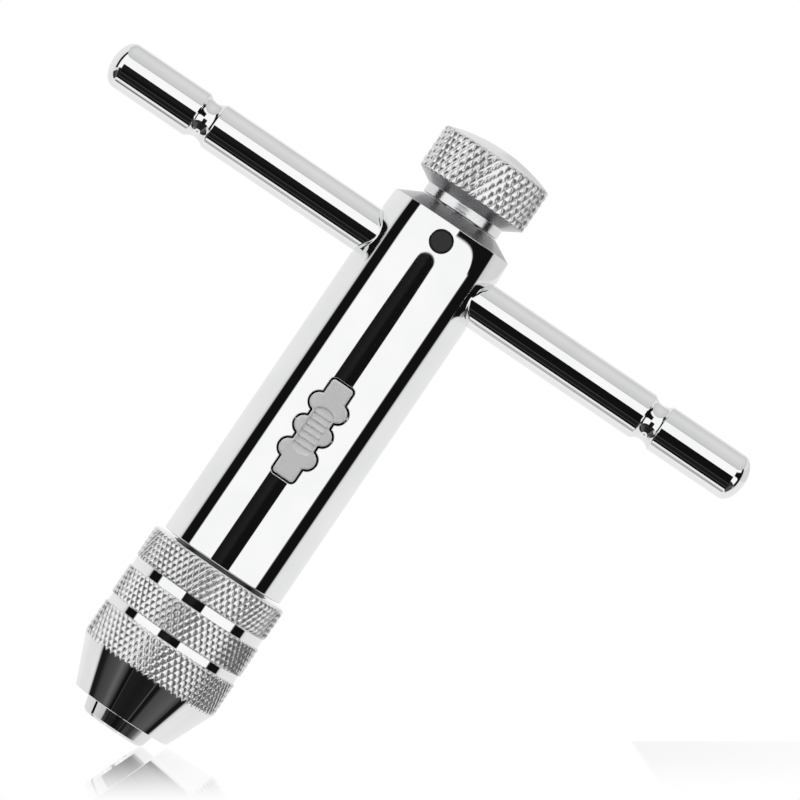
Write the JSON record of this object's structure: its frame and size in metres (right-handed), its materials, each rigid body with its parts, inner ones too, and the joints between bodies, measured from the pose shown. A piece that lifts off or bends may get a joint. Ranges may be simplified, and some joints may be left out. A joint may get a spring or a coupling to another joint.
{
  "type": "tap wrench",
  "caption": "Ratcheting T-handle tap wrench: sliding cross bar, knurled clamp knob, direction switch and a knurled chuck sleeve that closes a pair of jaws.",
  "frame": {"origin": "centre of the jaw tips' end face, on the tool's axis", "axes": "+Z along the axis towards the clamp knob, X along the cross bar, the direction switch faces -Y"},
  "size_m": [0.0915, 0.0186, 0.0839],
  "materials": {
    "polished_chrome": "mirror-polished chrome plate",
    "turned_chrome": "chrome plate over knurled and turned faces",
    "satin_nickel": "satin nickel plate",
    "polished_steel": "ground and polished hardened steel",
    "tool_steel": "turned tool steel",
    "dark_steel": "blackened steel",
    "ground_steel": "ground steel",
    "spring_steel": "drawn spring wire",
    "bronze": "turned bearing bronze",
    "brass": "turned brass",
    "black_rubber": "moulded nitrile rubber"
  },
  "bodies": {
    "barrel": {"barrel": "polished_chrome", "lower_bush": "bronze", "lower_washer": "ground_steel", "upper_washer": "ground_steel", "retaining_ring": "dark_steel", "guide_pin": "dark_steel", "rocker_pin": "ground_steel"},
    "bar": {"t_bar": "polished_chrome"},
    "pad": {"pressure_pad": "brass"},
    "knob": {"clamp_knob": "turned_chrome", "tip_ring": "dark_steel"},
    "switch": {"rocker": "satin_nickel", "detent_ball": "ground_steel", "detent_spring": "spring_steel"},
    "spindle": {"spindle": "tool_steel"},
    "drag_ring": {"drag_ring": "black_rubber"},
    "sleeve": {"sleeve": "polished_chrome"},
    "jaw_a": {"jaw_a": "polished_steel", "jaw_springs": "spring_steel"},
    "jaw_b": {"jaw_b": "polished_steel"}
  },
  "joints": [
    {"name": "bar_slide", "type": "slide", "parent": "barrel", "child": "bar", "axis": [1, 0, 0], "range_m": [-0.033, 0.0316]},
    {"name": "pad_slide", "type": "slide", "parent": "barrel", "child": "pad", "axis": [0, 0, 1], "range_m": [0, 0.0015]},
    {"name": "knob_turn", "type": "hinge", "parent": "pad", "child": "knob", "pos_m": [0, 0, 0.074], "axis": [0, 0, 1], "range_deg": [0, 540]},
    {"name": "switch_tilt", "type": "hinge", "parent": "barrel", "child": "switch", "pos_m": [0, -0.006, 0.0432], "axis": [1, 0, 0], "range_deg": [-5, 5]},
    {"name": "spindle_turn", "type": "hinge", "parent": "barrel", "child": "spindle", "pos_m": [0, 0, 0.03], "axis": [0, 0, 1], "continuous": true},
    {"name": "sleeve_climb", "type": "slide", "parent": "spindle", "child": "drag_ring", "axis": [0, 0, -1], "range_m": [0, 0.005]},
    {"name": "sleeve_turn", "type": "hinge", "parent": "drag_ring", "child": "sleeve", "pos_m": [0, 0, 0.012], "axis": [0, 0, -1], "range_deg": [0, 1800]},
    {"name": "jaw_a_slide", "type": "slide", "parent": "spindle", "child": "jaw_a", "axis": [0.7193, -0.6947, 0], "range_m": [0, 0.0014], "deforming": ["jaw_springs"]},
    {"name": "jaw_b_slide", "type": "slide", "parent": "spindle", "child": "jaw_b", "axis": [-0.7193, 0.6947, 0], "range_m": [0, 0.0014]}
  ],
  "couplings": [
    {"joint": "knob_turn", "follows": "pad_slide", "rad_per_m": 6283.2},
    {"joint": "sleeve_turn", "follows": "sleeve_climb", "rad_per_m": 6283.2},
    {"joint": "jaw_a_slide", "follows": "sleeve_climb", "ratio": 0.27545},
    {"joint": "jaw_b_slide", "follows": "sleeve_climb", "ratio": 0.27545}
  ]
}
